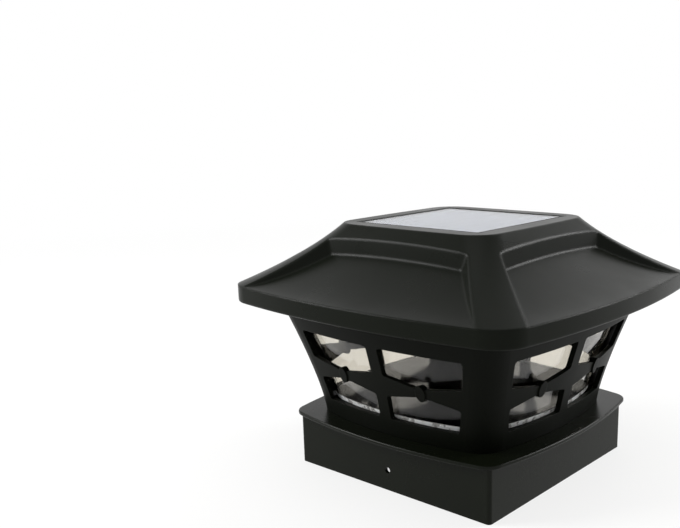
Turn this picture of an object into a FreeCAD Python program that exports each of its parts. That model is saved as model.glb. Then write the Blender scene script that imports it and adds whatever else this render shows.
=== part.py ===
import FreeCAD, Part
import math
import os

from FreeCAD import Vector

# Solar cap light for a square deck post. Millimetres, +Z up, origin at the middle of the skirt's lower edge.
# The four sides are alike. Each outline is a square whose sides bow outward and whose corners are rounded.
# Three sizes give it: how far out the middle of a side is, how far out its ends are (the "edge"), and how
# far the corner's round reaches along each side.

# Skirt over the post
post_width = 127.0
post_clearance = 1.0
skirt_wall = 2.0
skirt_height = 29.3
skirt_corner_radius = 2.0
crush_rib_height = 0.7
crush_rib_width = 2.0
crush_rib_spacing = 70.0
crush_rib_start = 1.5
post_screw_hole = 3.5
post_screw_height = 11.3

# Bowed flange on top of the skirt
flange_thickness = 2.2
flange_overhang = 3.7
flange_corner_reach = 8.0
flange_bow = 6.6
flange_edge_radius = 0.7
locating_step_height = 2.5
locating_step_gap = 0.2

# Flared lantern body
body_foot_edge = 60.4
body_head_edge = 77.3
body_height = 66.0
body_corner_reach = 13.0
body_bow = 5.2
body_flare_power = 1.3
body_wall = 3.0
body_collar_height = 3.0
body_collar_depth = 6.5
body_boss_bite = 1.0
body_boss_web = 2.0
body_boss_radius = 4.5
body_boss_height = 6.5
body_screw_bite = 5.0

# Windows of the lantern body, four on each side
sill_height = 9.7
head_height = 50.3
jamb_foot = 45.0
jamb_head = 55.2
mullion_width = 7.6
pane_corner_radius = 1.6
knot_rise = 29.0
knot_end_height = 12.0
knot_middle_height = 4.0
knob_width = 5.8
knob_height = 9.0
knob_relief = 0.8

# Clear lens inside the lantern body
lens_gap = 0.5
lens_wall = 1.6
mirror_thickness = 0.8
mirror_gap = 0.4
lens_corner_reach = 18.0
lens_top_gap = 2.0

# Roof
eave_drop = 0.5
eave_height = 9.4
eave_edge = 94.2
eave_corner_reach = 16.0
eave_bow = 6.3
eave_edge_radius = 1.0
roof_rise = 32.5
hip_hollow = 0.33
deck_edge = 50.9
deck_corner_reach = 15.0
deck_bow = 0.6
deck_edge_radius = 0.9
roof_wall = 2.6
floor_drop_share = 1.1
floor_spread_share = 0.6

# Hollow panels between the hips
panel_top_drop = 5.9
panel_top_reach = 57.8
panel_top_half_width = 47.7
panel_side_slope = 1.2
panel_side_lean = 0.5
panel_back_lean = 0.14
panel_corner_radius = 4.0
panel_floor_reach = 58.6
panel_floor_rise = 17.9
panel_floor_power = 1.4
panel_floor_start = 0.12
panel_floor_bow = 2.0
panel_lip = 0.3
panel_lip_radius = 1.5
panel_foot_radius = 1.5

# Solar panel in the roof deck
cell_panel_width = 80.6
cell_panel_gap = 1.2
cell_cover_thickness = 2.2
cell_thickness = 0.4
cell_board_thickness = 1.2
cell_count = 4
cell_spacing = 1.0
cell_margin = 3.0
cell_panel_depth = 0.2
cell_cover_gap = 0.15
seal_thickness = 0.8
seal_width = 4.0
wire_hole = 6.0
wire_hole_place = 12.0

# Tray under the roof
tray_thickness = 2.5
tray_gap = 0.4
rim_wall = 3.4
spigot_depth = 10.0
spigot_wall = 2.0
spigot_clearance = 0.5
tray_seal_width = 3.0
tray_seal_height = 1.2
tray_pad_height = 2.0
tray_pad_radius = 5.0

# Fasteners
screw_diameter = 3.0
screw_head_diameter = 5.6
screw_head_height = 2.0
screw_pilot = 2.5
screw_slip = 0.2
recess_width = 3.2
recess_depth = 1.0
small_screw_diameter = 2.0
small_screw_head = 3.8
small_screw_head_height = 1.3
small_screw_pilot = 1.6
small_screw_slip = 0.1
small_head_slip = 0.2
tray_screw_place = 57.0
tray_boss_radius = 4.0
tray_boss_height = 16.0
screw_bite = 8.0
head_room = 0.3
head_round = 0.35
joint_bite = 0.3
small_round = 0.2

# Battery, its box in the tray and the door under it
battery_diameter = 14.2
battery_length = 49.0
battery_cap_diameter = 5.5
battery_cap_height = 1.2
battery_edge_radius = 0.8
battery_place = -34.0
battery_side_gap = 0.8
battery_top_gap = 0.5
battery_end_room = 1.5
box_wall = 2.0
door_thickness = 2.0
door_clearance = 0.3
door_shelf = 2.5
door_ear = 8.0
door_corner_radius = 2.5
door_seal_thickness = 0.7
door_boss_radius = 3.0
door_boss_height = 7.0
door_screw_end_gap = 1.5
contact_thickness = 0.4
contact_width = 9.0
contact_height = 11.0
contact_arch_radius = 3.0
contact_tab_width = 3.0
contact_tab_rise = 1.5
contact_slot_gap = 0.3

# Circuit board
board_length = 52.0
board_width = 26.0
board_thickness = 1.6
board_place = 36.0
board_post_height = 5.0
board_post_radius = 2.6
board_hole_inset = 4.0
chip_length = 5.0
chip_width = 4.0
chip_height = 1.6
chip_place = -8.0
choke_diameter = 6.0
choke_height = 5.5
choke_winding_diameter = 5.0
choke_flange = 0.8
capacitor_diameter = 5.0
capacitor_height = 7.0
capacitor_place = 12.0
capacitor_edge_radius = 0.5

# Light source
led_board_diameter = 30.0
led_board_thickness = 1.6
led_seat_gap = 0.3
led_count = 4
led_ring_radius = 8.0
led_diameter = 5.0
led_height = 5.6
led_flange = 0.4
reflector_mouth = 38.0
reflector_throat = 26.0
reflector_depth = 8.0
reflector_wall = 1.2
reflector_flange_diameter = 42.0
reflector_screw_radius = 17.5

# Slide switch
switch_place = 38.0
switch_length = 12.0
switch_width = 6.4
switch_height = 5.0
switch_wall = 0.9
switch_ear = 4.0
switch_ear_thickness = 1.2
switch_travel = 2.6
switch_knob_length = 3.2
switch_knob_width = 2.6
switch_knob_reach = 1.8
switch_carriage_height = 2.0
switch_play = 0.2

# Wires inside the roof
wire_diameter = 1.2
wire_bend = 3.0
wire_pitch = 2.6
panel_wire_level = 118.0
panel_wire_landing = 6.5
led_wire_level = 111.0
led_wire_landing = 2.5
battery_wire_level = 123.0
battery_wire_landing = 18.0
battery_wire_inset = 4.0
switch_wire_level = 110.0
switch_wire_landing = 24.0

# Levels
body_screw_seat = skirt_height + screw_head_height + head_room
flange_top = skirt_height + flange_thickness
step_top = flange_top + locating_step_height
body_top = flange_top + body_height
sill_z = flange_top + sill_height
lens_foot = step_top + body_boss_height
lens_floor = lens_foot + lens_wall
lens_top = body_top - body_collar_height - lens_top_gap
head_z = flange_top + head_height
knot_z = flange_top + knot_rise
eave_bottom = body_top - eave_drop
eave_top = eave_bottom + eave_height
deck_top = eave_top + roof_rise
panel_lip_z = deck_top - panel_top_drop
tray_top = body_top + tray_thickness
pad_top = tray_top + tray_pad_height
tray_screw_seat = body_top + screw_head_height + head_room
door_seat = body_top + door_thickness + door_seal_thickness
battery_z = door_seat + battery_top_gap + battery_diameter / 2
box_inside_length = battery_length + battery_cap_height + 2 * battery_end_room
box_inside_width = battery_diameter + 2 * battery_side_gap
box_ceiling = battery_z + battery_diameter / 2 + battery_top_gap
board_z = tray_top + board_post_height
led_z = body_top
skirt_half_inside = post_width / 2 + post_clearance
skirt_half = skirt_half_inside + skirt_wall
root_half = 1 / math.sqrt(2)
screw_hole_radius = screw_diameter / 2 + screw_slip
screw_sink_radius = screw_head_diameter / 2 + screw_slip
small_hole_radius = small_screw_diameter / 2 + small_screw_slip
small_sink_radius = small_screw_head / 2 + small_head_slip
cell_room_height = cell_thickness + cell_cover_gap
panel_stack_height = seal_thickness + cell_board_thickness + cell_room_height + cell_cover_thickness
panel_pocket_depth = panel_stack_height + cell_panel_depth
panel_board_z = deck_top - panel_pocket_depth + seal_thickness
cells_z = panel_board_z + cell_board_thickness
board_top = board_z + board_thickness
led_board_top = led_z + led_board_thickness
eave_sizes = (eave_edge + eave_bow, eave_edge, eave_corner_reach)
eave_front = eave_edge + eave_bow + 1
cut_reach = eave_front + 20


def box(x, y, z, length, width, height):
    """A box centred on x and y that stands on z."""
    return Part.makeBox(length, width, height, Vector(x - length / 2, y - width / 2, z))


def pin(x, y, z, radius, height):
    """An upright cylinder that stands on z."""
    return Part.makeCylinder(radius, height, Vector(x, y, z))


def quarter_turned(shape, turns):
    turned = shape.copy()
    turned.rotate(Vector(0, 0, 0), Vector(0, 0, 1), 90 * turns)
    return turned


def all_sides(shape):
    return [quarter_turned(shape, turns) for turns in range(4)]


def at_corners(x, y, make):
    return [make(sx * x, sy * y) for sx in (-1, 1) for sy in (-1, 1)]


def corner_crown(mid, edge, reach):
    """x and y of the outermost point of a corner's round, which meets both bowed sides smoothly."""
    turn = math.pi / 2 - 4 * math.atan((mid - edge) / (edge - reach))
    return edge - reach / 2 * (1 - math.tan(turn / 4))


def outline(mid, edge, reach, z):
    """The bowed square with rounded corners at height z, as eight arcs."""
    near = edge - reach
    crown = corner_crown(mid, edge, reach)
    edges = []
    for turns in range(4):
        c = round(math.cos(turns * math.pi / 2))
        s = round(math.sin(turns * math.pi / 2))
        spots = [(-near, -edge), (0, -mid), (near, -edge), (crown, -crown), (edge, -near)]
        start, middle, end, top, following = [Vector(c * x - s * y, s * x + c * y, z) for x, y in spots]
        edges.append(Part.Arc(start, middle, end).toShape())
        edges.append(Part.Arc(end, top, following).toShape())
    return Part.Wire(edges)


def inset(sizes, depth):
    """The same outline moved inward by depth all round."""
    return tuple(size - depth for size in sizes)


def plate(sizes, bottom, height):
    return Part.Face(outline(*sizes, bottom)).extrude(Vector(0, 0, height))


def lofted(rows):
    """A smooth solid through outlines, given as (sizes, z) from the bottom up."""
    return Part.makeLoft([outline(*sizes, z) for sizes, z in rows], True, False)


def levels(bottom, top, count):
    return [bottom + (top - bottom) * i / (count - 1) for i in range(count)]


def tangent_loop(points, radii):
    """A closed wire through points with each corner rounded by a tangent arc of its radius."""
    edges = []
    trimmed = []
    count = len(points)
    for i, (corner, radius) in enumerate(zip(points, radii)):
        before = (points[i - 1] - corner).normalize()
        after = (points[(i + 1) % count] - corner).normalize()
        half_angle = math.acos(max(-1, min(1, before.dot(after)))) / 2
        reach = radius / math.tan(half_angle)
        inward = (before + after).normalize()
        crown = corner + inward * (radius / math.sin(half_angle) - radius)
        trimmed.append((corner + before * reach, crown, corner + after * reach))
    for i, (enter, crown, leave) in enumerate(trimmed):
        edges.append(Part.Arc(enter, crown, leave).toShape())
        following = trimmed[(i + 1) % count][0]
        if (following - leave).Length > 0.01:
            edges.append(Part.makeLine(leave, following))
    return Part.Wire(edges)


def side_prism(spots, radius, near, far):
    """A prism along Y from near to far whose outline is given in x and z."""
    points = [Vector(x, near, z) for x, z in spots]
    loop = tangent_loop(points, [radius] * len(points)) if radius else Part.makePolygon(points + points[:1])
    return Part.Face(loop).extrude(Vector(0, far - near, 0))


def edges_near(shape, test):
    return [edge for edge in shape.Edges if test(edge)]


def meeting_edges(shape, first, second, above):
    """The edges of shape above a height whose middles lie on a surface of both groups of shells."""
    found = []
    for edge in edges_near(shape, lambda e: e.BoundBox.ZMax > above):
        middle = Part.Vertex(edge.valueAt((edge.FirstParameter + edge.LastParameter) / 2))
        if all(min(shell.distToShape(middle)[0] for shell in group) < 0.01 for group in (first, second)):
            found.append(edge)
    return found


def screw(x, y, seat, length, head_up=False, small=False):
    """A pan screw with a cross recess whose head bears on the level of its seat."""
    diameter, head, head_height = screw_diameter, screw_head_diameter, screw_head_height
    if small:
        diameter, head, head_height = small_screw_diameter, small_screw_head, small_screw_head_height
    cap = pin(0, 0, -head_height, head / 2, head_height)
    outer_edges = edges_near(cap, lambda e: e.BoundBox.ZMax < 0.01 - head_height)
    cap = cap.makeFillet(head_height * head_round, outer_edges)
    arm = recess_width * head / screw_head_diameter
    depth = recess_depth * head / screw_head_diameter
    cross = [box(0, 0, -head_height - 1, x, y, 1 + depth) for x, y in ((arm, arm / 4), (arm / 4, arm))]
    solid = cap.cut(cross).fuse(pin(0, 0, 0, diameter / 2, length)).removeSplitter()
    if head_up:
        solid.rotate(Vector(0, 0, 0), Vector(1, 0, 0), 180)
    solid.translate(Vector(x, y, seat))
    return solid


def body_sizes(z):
    """The lantern body's outer outline at height z."""
    share = max(0.0, (z - flange_top) / body_height)
    edge = body_foot_edge + (body_head_edge - body_foot_edge) * share ** body_flare_power
    return edge + body_bow, edge, body_corner_reach


def body_loft(depth, bottom, top):
    return lofted([(inset(body_sizes(z), depth), z) for z in levels(bottom, top, 6)])


def jamb(z):
    """Distance of a window's outer edge from the middle of its side."""
    return jamb_foot + (jamb_head - jamb_foot) * (z - sill_z) / (head_z - sill_z)


def base_cap():
    rise = skirt_height
    outer = box(0, 0, 0, 2 * skirt_half, 2 * skirt_half, rise)
    outer = outer.makeFillet(skirt_corner_radius, edges_near(outer, lambda e: e.BoundBox.ZLength > rise - 1))
    hollow = box(0, 0, -1, 2 * skirt_half_inside, 2 * skirt_half_inside, rise + 1)
    edge = skirt_half + flange_overhang
    flange = plate((edge + flange_bow, edge, flange_corner_reach), rise, flange_thickness)
    flange = flange.makeFillet(flange_edge_radius, edges_near(flange, lambda e: e.BoundBox.ZLength < 0.01))
    step_sizes = inset(body_sizes(flange_top), body_wall + locating_step_gap)
    step = plate(step_sizes, rise + flange_thickness / 2, flange_thickness / 2 + locating_step_height)
    ribs = []
    for place in (-crush_rib_spacing / 2, crush_rib_spacing / 2):
        rib = box(place, -skirt_half_inside, crush_rib_start, crush_rib_width, 2 * crush_rib_height,
                  rise - crush_rib_start)
        ribs += all_sides(rib)
    cap = outer.cut(hollow).fuse([flange, step] + ribs)
    place = body_boss_place()
    drills = at_corners(place, place, lambda x, y: pin(x, y, rise - 1, screw_hole_radius, 9))
    sinks = at_corners(place, place, lambda x, y: pin(
        x, y, rise - 1, screw_sink_radius, 1 + body_screw_seat - rise))
    bore_start = Vector(0, -skirt_half - 1, post_screw_height)
    bore = Part.makeCylinder(post_screw_hole / 2, 2 * skirt_half + 2, bore_start, Vector(0, 1, 0))
    return cap.cut(drills + sinks + [bore]).removeSplitter()


def body_boss_place():
    """x and y of the screw bosses, which bite into the corner walls of the body."""
    depth = body_wall + body_boss_radius - body_boss_bite
    return corner_crown(*body_sizes(flange_top)) - depth * root_half


def pane_prisms():
    """The window cut-outs of one pair of opposite sides, as prisms along Y."""
    mull = mullion_width / 2
    end_top = knot_z + knot_end_height / 2
    end_bottom = knot_z - knot_end_height / 2
    middle_top = knot_z + knot_middle_height / 2
    middle_bottom = knot_z - knot_middle_height / 2
    centre = (mull + jamb(knot_z)) / 2
    prisms = []
    for side in (-1, 1):
        upper = [(side * x, z) for x, z in (
            (mull, head_z), (jamb(head_z), head_z), (jamb(end_top), end_top), (centre, middle_top),
            (mull, end_top))]
        lower = [(side * x, z) for x, z in (
            (mull, sill_z), (jamb(sill_z), sill_z), (jamb(end_bottom), end_bottom), (centre, middle_bottom),
            (mull, end_bottom))]
        prisms += [side_prism(spots, pane_corner_radius, -cut_reach, cut_reach) for spots in (upper, lower)]
    return prisms


def knobs():
    """The oval knobs at the waists of the bow-tie bands, as prisms along Y."""
    centre = (mullion_width / 2 + jamb(knot_z)) / 2
    solids = []
    for x in (-centre, centre):
        oval = Part.Ellipse(Vector(0, 0, 0), knob_height / 2, knob_width / 2).toShape()
        face = Part.Face(Part.Wire([oval]))
        face.rotate(Vector(0, 0, 0), Vector(0, 0, 1), 90)
        face.rotate(Vector(0, 0, 0), Vector(1, 0, 0), 90)
        face.translate(Vector(x, -cut_reach, knot_z))
        solids.append(face.extrude(Vector(0, 2 * cut_reach, 0)))
    return solids


def lattice_body():
    outer = body_loft(0, flange_top, body_top)
    inner = body_loft(body_wall, flange_top - 1, body_top + 1)
    wall = outer.cut(inner)
    panes = pane_prisms()
    wall = wall.cut(panes + [quarter_turned(prism, 1) for prism in panes])
    knob_zone = body_loft(-knob_relief, flange_top, body_top).cut(inner)
    bosses = [knob_zone.common(prism) for knob in knobs() for prism in (knob, quarter_turned(knob, 1))]
    collar_foot = body_top - body_collar_height
    collar_sizes = body_sizes(collar_foot)
    collar = plate(inset(collar_sizes, body_wall - joint_bite), collar_foot, body_collar_height)
    collar_bore = plate(inset(collar_sizes, body_collar_depth), collar_foot - 1, body_collar_height + 2)
    collar = collar.cut(collar_bore)
    place = body_boss_place()
    posts = at_corners(place, place, lambda x, y: pin(x, y, step_top, body_boss_radius, body_boss_height))
    pilots = at_corners(place, place, lambda x, y: pin(x, y, step_top - 1, screw_pilot / 2, body_screw_bite + 1.5))
    web = box(0, 0, step_top, 4 * body_foot_edge, body_boss_web, body_boss_height)
    web.rotate(Vector(0, 0, 0), Vector(0, 0, 1), 45)
    outside = body_loft(body_wall / 2, flange_top, body_top)
    core = pin(0, 0, step_top - 1, place / root_half, body_boss_height + 2)
    webs = [turned.common(outside).cut(core) for turned in (web, quarter_turned(web, 1))]
    body = wall.fuse(bosses + [collar] + posts + webs)
    return body.cut(pilots).removeSplitter()


def lens_sizes(z, depth):
    """The lens's outline at height z, this depth under its outer face."""
    edge = body_sizes(z)[1] - body_wall - lens_gap
    return inset((edge + body_bow, edge, lens_corner_reach), depth)


def lens_loft(depth, bottom, top):
    return lofted([(lens_sizes(z, depth), z) for z in levels(bottom, top, 6)])


def clear_lens():
    """A clear cup that stands on the body's screw bosses and is open at the top."""
    outer = lens_loft(0, lens_foot, lens_top)
    bore = lens_loft(lens_wall, lens_floor, lens_top + 1)
    return outer.cut(bore).removeSplitter()


def mirror_plate():
    """The mirrored plate on the floor of the lens, which throws the lamps' light out through the windows."""
    return plate(lens_sizes(lens_floor, lens_wall + mirror_gap), lens_floor, mirror_thickness)


def roof_outline_rows():
    """The hips and the top band without the hollow panels: (sizes, z) from the eave up to the deck."""
    rows = []
    for share in levels(0, 1, 7):
        drawn_in = share + hip_hollow * share * (1 - share)
        edge = eave_edge + (deck_edge - eave_edge) * drawn_in
        bow = eave_bow + (deck_bow - eave_bow) * drawn_in
        reach = eave_corner_reach + (deck_corner_reach - eave_corner_reach) * drawn_in
        rows.append(((edge + bow, edge, reach), eave_top + roof_rise * share))
    return rows


def panel_floor_rows(depth, spread):
    """The floor of the hollow panels, from the eave up: (sizes, z), moved down by depth and in by spread."""
    rows = []
    eave_mid = eave_edge + eave_bow - panel_lip
    for share in levels(0, 1, 7):
        mid = eave_mid + (panel_floor_reach - eave_mid) * share
        bow = eave_bow + (panel_floor_bow - eave_bow) * share
        reach = eave_corner_reach + (deck_corner_reach - eave_corner_reach) * share
        rise = panel_floor_start * share + (1 - panel_floor_start) * share ** panel_floor_power
        rows.append((inset((mid, mid - bow, reach), spread), eave_top + panel_floor_rise * rise - depth))
    return rows


def panel_cutter():
    """The room over one hollow panel, on the -Y side, which widens towards the eave.

    Going down, its back wall leans outward and its side walls lean inward.
    """
    loops = []
    for z in (eave_top, deck_top + 1):
        below_lip = panel_lip_z - z
        back = panel_top_reach + panel_back_lean * below_lip
        half = panel_top_half_width - panel_side_lean * below_lip
        half += panel_side_slope * (back - panel_top_reach)
        front_half = half + panel_side_slope * (eave_front - back)
        plan = [(-half, -back), (half, -back), (front_half, -eave_front), (-front_half, -eave_front)]
        radii = [panel_corner_radius, panel_corner_radius, small_round, small_round]
        loops.append(tangent_loop([Vector(x, y, z) for x, y in plan], radii))
    return Part.makeLoft(loops, True, True)


def roof_cavity():
    """The room under the roof: the eave's inside, the underside of the panels and the neck below the deck."""
    drop = roof_wall * floor_drop_share
    spread = roof_wall * floor_spread_share
    rows = panel_floor_rows(drop, spread)
    ledge = tray_top + tray_seal_height
    mouth = plate(inset(eave_sizes, rim_wall), eave_bottom - 1, ledge - eave_bottom + 1)
    throat_sizes = inset(eave_sizes, rim_wall + tray_seal_width)
    throat = plate(throat_sizes, ledge, rows[0][1] - ledge)
    vault = lofted(rows).common(plate(throat_sizes, ledge, roof_rise + eave_height))
    ceiling = deck_top - panel_pocket_depth - roof_wall
    foot_sizes, foot = rows[-1]
    drawn_in = panel_floor_reach - spread - (panel_top_reach - drop)
    neck = lofted([(foot_sizes, foot), (inset(foot_sizes, drawn_in), ceiling)])
    return mouth.fuse([throat, vault, neck])


def roof_shell():
    rim = plate(eave_sizes, eave_bottom, eave_height)
    rim = rim.makeFillet(eave_edge_radius, edges_near(rim, lambda e: e.BoundBox.ZMax < eave_bottom + 0.01))
    hips = lofted(roof_outline_rows())
    hips = hips.makeFillet(deck_edge_radius, edges_near(hips, lambda e: e.BoundBox.ZMin > deck_top - 0.01))
    cutters = all_sides(panel_cutter())
    walls = [cutter.Shells[0] for cutter in cutters]
    ridged = hips.cut(cutters)
    ridged = ridged.makeFillet(panel_lip_radius, meeting_edges(ridged, [hips.Shells[0]], walls, eave_top + 0.5))
    floors = lofted(panel_floor_rows(0, 0))
    roof = rim.fuse([floors, ridged])
    roof = roof.makeFillet(panel_foot_radius, meeting_edges(roof, [floors.Shells[0]], walls, eave_top + 1))
    roof = roof.cut(roof_cavity())
    bosses = at_corners(tray_screw_place, tray_screw_place,
                        lambda x, y: pin(x, y, pad_top, tray_boss_radius, tray_boss_height))
    roof = roof.fuse(bosses)
    pocket_width = cell_panel_width + 2 * cell_panel_gap
    pocket = box(0, 0, deck_top - panel_pocket_depth, pocket_width, pocket_width, panel_pocket_depth + 1)
    passage = pin(0, wire_hole_place, panel_wire_level, wire_hole / 2, deck_top - panel_wire_level)
    pilots = at_corners(tray_screw_place, tray_screw_place,
                        lambda x, y: pin(x, y, pad_top - 1, screw_pilot / 2, screw_bite + 2))
    return roof.cut([pocket, passage] + pilots).removeSplitter()


def slab(length, width, radius, bottom, height, y):
    """A block with rounded upright corners, centred on x = 0 and on y."""
    block = box(0, y, bottom, length, width, height)
    return block.makeFillet(radius, edges_near(block, lambda e: e.BoundBox.ZLength > height - 0.01))


def door_size(grow):
    return (box_inside_length + 2 * door_ear + 2 * grow, box_inside_width + 2 * door_shelf + 2 * grow)


def door_screw_places():
    return [side * (box_inside_length / 2 + door_ear / 2) for side in (-1, 1)]


def board_hole_places():
    x = board_length / 2 - board_hole_inset
    y = board_width / 2 - board_hole_inset
    return [(sx * x, board_place + sy * y) for sx in (-1, 1) for sy in (-1, 1)]


def reflector_screw_places():
    return [(reflector_screw_radius * math.cos(a), reflector_screw_radius * math.sin(a))
            for a in (math.radians(30 + 120 * i) for i in range(3))]


def switch_screw_places():
    return [side * (switch_length / 2 + switch_ear / 2) for side in (-1, 1)]


def under_tray():
    sheet = plate(inset(eave_sizes, rim_wall + tray_gap), body_top, tray_thickness)
    spigot_foot = body_top - spigot_depth
    spigot_sizes = lens_sizes(spigot_foot, lens_wall + spigot_clearance)
    spigot = plate(spigot_sizes, spigot_foot, spigot_depth)
    spigot = spigot.cut(plate(inset(spigot_sizes, spigot_wall), spigot_foot - 1, spigot_depth + 1))
    length, width = door_size(door_clearance)
    radius = door_corner_radius + door_clearance
    frame = slab(length + 2 * box_wall, width + 2 * box_wall, radius + box_wall, body_top,
                 door_seat + box_wall - body_top, battery_place)
    room = box(0, battery_place, door_seat - 1, box_inside_length, box_inside_width,
               box_ceiling - door_seat + 1)
    chamber = box(0, battery_place, body_top, box_inside_length + 2 * box_wall,
                  box_inside_width + 2 * box_wall, box_ceiling + box_wall - body_top)
    door_bosses = [pin(x, battery_place, door_seat, door_boss_radius, door_boss_height)
                   for x in door_screw_places()]
    pads = at_corners(tray_screw_place, tray_screw_place,
                      lambda x, y: pin(x, y, tray_top, tray_pad_radius, tray_pad_height))
    posts = [pin(x, y, tray_top, board_post_radius, board_post_height) for x, y in board_hole_places()]
    studs = [pin(x, y, tray_top, board_post_radius, board_post_height) for x, y in reflector_screw_places()]
    switch_studs = [pin(switch_place, y, tray_top - 0.5, switch_ear / 2, switch_carriage_height + 0.5)
                    for y in switch_screw_places()]
    tray = sheet.fuse([spigot, frame, chamber] + door_bosses + pads + posts + studs + switch_studs)
    recess = slab(length, width, radius, body_top - 1, door_seat - body_top + 1, battery_place)
    door_pilots = [pin(x, battery_place, door_seat - 1, small_hole_radius, door_boss_height)
                   for x in door_screw_places()]
    drills = at_corners(tray_screw_place, tray_screw_place,
                        lambda x, y: pin(x, y, body_top - 1, screw_hole_radius, 9))
    sinks = at_corners(tray_screw_place, tray_screw_place, lambda x, y: pin(
        x, y, body_top - 1, screw_sink_radius, tray_screw_seat - body_top + 1))
    post_pilots = [pin(x, y, tray_top + 0.5, small_screw_pilot / 2, board_post_height)
                   for x, y in board_hole_places()]
    stud_pilots = [pin(x, y, body_top - 1, small_screw_pilot / 2, tray_thickness + board_post_height)
                   for x, y in reflector_screw_places()]
    led_seat = pin(0, 0, led_z - 1, led_board_diameter / 2 + led_seat_gap, led_board_thickness + 1)
    led_passage = pin(0, 0, led_z, wire_hole / 2, tray_thickness + 1)
    slot = box(switch_place, 0, body_top - 1, switch_knob_width + 2 * switch_play,
               switch_knob_length + switch_travel + 2 * switch_play, tray_thickness + 2)
    switch_pilots = [pin(switch_place, y, tray_top - 2, small_screw_pilot / 2, switch_carriage_height + 3)
                     for y in switch_screw_places()]
    slot_length = contact_thickness + 2 * contact_slot_gap
    slot_width = contact_tab_width + 2 * contact_slot_gap
    slots = [box(side * contact_place(), battery_place, box_ceiling - 1, slot_length, slot_width, box_wall + 2)
             for side in (-1, 1)]
    holes = [recess, room, led_seat, led_passage, slot] + slots
    holes += door_pilots + drills + sinks + post_pilots + stud_pilots + switch_pilots
    return tray.cut(holes).removeSplitter()


def tray_seal():
    ring = plate(inset(eave_sizes, rim_wall + tray_gap), tray_top, tray_seal_height)
    return ring.cut(plate(inset(eave_sizes, rim_wall + tray_seal_width), tray_top - 1, tray_seal_height + 2))


def tray_screws():
    length = pad_top + screw_bite - tray_screw_seat
    return Part.makeCompound(at_corners(tray_screw_place, tray_screw_place,
                                        lambda x, y: screw(x, y, tray_screw_seat, length)))


def body_screws():
    place = body_boss_place()
    length = step_top + body_screw_bite - body_screw_seat
    return Part.makeCompound(at_corners(place, place, lambda x, y: screw(x, y, body_screw_seat, length)))


def panel_seal():
    floor = deck_top - panel_pocket_depth
    ring = box(0, 0, floor, cell_panel_width, cell_panel_width, seal_thickness)
    hole_width = cell_panel_width - 2 * seal_width
    return ring.cut(box(0, 0, floor - 1, hole_width, hole_width, seal_thickness + 2))


def panel_board():
    return box(0, 0, panel_board_z, cell_panel_width, cell_panel_width, cell_board_thickness)


def solar_cells():
    field = cell_panel_width - 2 * cell_margin
    pitch = (field + cell_spacing) / cell_count
    strips = []
    for i in range(cell_count):
        x = -field / 2 + pitch * (i + 0.5) - cell_spacing / 2
        strips.append(box(x, 0, cells_z, pitch - cell_spacing, field, cell_thickness))
    return Part.makeCompound(strips)


def panel_cover():
    """The clear cover: a plate on a low rim that stands on the panel's board round the cells."""
    cover = box(0, 0, cells_z, cell_panel_width, cell_panel_width, cell_room_height + cell_cover_thickness)
    room = cell_panel_width - cell_margin
    return cover.cut(box(0, 0, cells_z - 1, room, room, cell_room_height + 1))


def battery_cell():
    along = Vector(1, 0, 0)
    can = Part.makeCylinder(battery_diameter / 2, battery_length, Vector(0, 0, 0), along)
    can = can.makeFillet(battery_edge_radius, edges_near(can, lambda e: e.BoundBox.XLength < 0.01))
    cap_start = along * (battery_length - 1)
    cap = Part.makeCylinder(battery_cap_diameter / 2, battery_cap_height + 1, cap_start, along)
    cell = can.fuse(cap).removeSplitter()
    cell.translate(Vector(-(battery_length + battery_cap_height) / 2, battery_place, battery_z))
    return cell


def contact_tab_top():
    return box_ceiling + box_wall + contact_tab_rise


def contact_place():
    """x of the middle of a contact strip's thickness."""
    return box_inside_length / 2 - contact_thickness / 2


def battery_contact(side):
    """A sprung strip on the end wall of the box. An arch presses on the battery, a tab passes the ceiling."""
    strip_foot = battery_z - contact_height / 2
    strip = box(contact_place(), battery_place, strip_foot, contact_thickness, contact_width, contact_height)
    tab = box(contact_place(), battery_place, battery_z, contact_thickness, contact_tab_width,
              contact_tab_top() - battery_z)
    bulge = battery_end_room - contact_thickness
    centre_x = box_inside_length / 2 - contact_thickness - bulge + contact_arch_radius
    axis = Vector(0, 1, 0)
    start = Vector(centre_x, battery_place - contact_width / 4, battery_z)
    ring = Part.makeCylinder(contact_arch_radius, contact_width / 2, start, axis)
    inside = Part.makeCylinder(contact_arch_radius - contact_thickness, contact_width, start - axis, axis)
    room = box(contact_place() - contact_arch_radius, battery_place, strip_foot, 2 * contact_arch_radius,
               contact_width, contact_height)
    arch = ring.cut(inside).common(room)
    contact = strip.fuse([tab, arch]).removeSplitter()
    if side < 0:
        contact = contact.mirror(Vector(0, 0, 0), Vector(1, 0, 0))
    return contact


def battery_door():
    length, width = door_size(0)
    door = slab(length, width, door_corner_radius, body_top, door_thickness, battery_place)
    holes = [pin(x, battery_place, body_top - 1, small_hole_radius, door_thickness + 2)
             for x in door_screw_places()]
    sink_depth = small_screw_head_height + small_screw_slip
    sinks = [pin(x, battery_place, body_top - 1, small_sink_radius, 1 + sink_depth)
             for x in door_screw_places()]
    return door.cut(holes + sinks)


def door_seal():
    length, width = door_size(0)
    bottom = body_top + door_thickness
    ring = slab(length, width, door_corner_radius, bottom, door_seal_thickness, battery_place)
    hole = box(0, battery_place, body_top, box_inside_length, box_inside_width, door_thickness + 2)
    screws = [pin(x, battery_place, body_top, small_hole_radius, door_thickness + 2)
              for x in door_screw_places()]
    return ring.cut([hole] + screws)


def door_screws():
    seat = body_top + small_screw_head_height + small_screw_slip
    length = door_seat + door_boss_height - door_screw_end_gap - seat
    return Part.makeCompound([screw(x, battery_place, seat, length, small=True) for x in door_screw_places()])


def circuit_board():
    board = box(0, board_place, board_z, board_length, board_width, board_thickness)
    holes = [pin(x, y, board_z - 1, small_hole_radius, board_thickness + 2)
             for x, y in board_hole_places()]
    return board.cut(holes)


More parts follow.
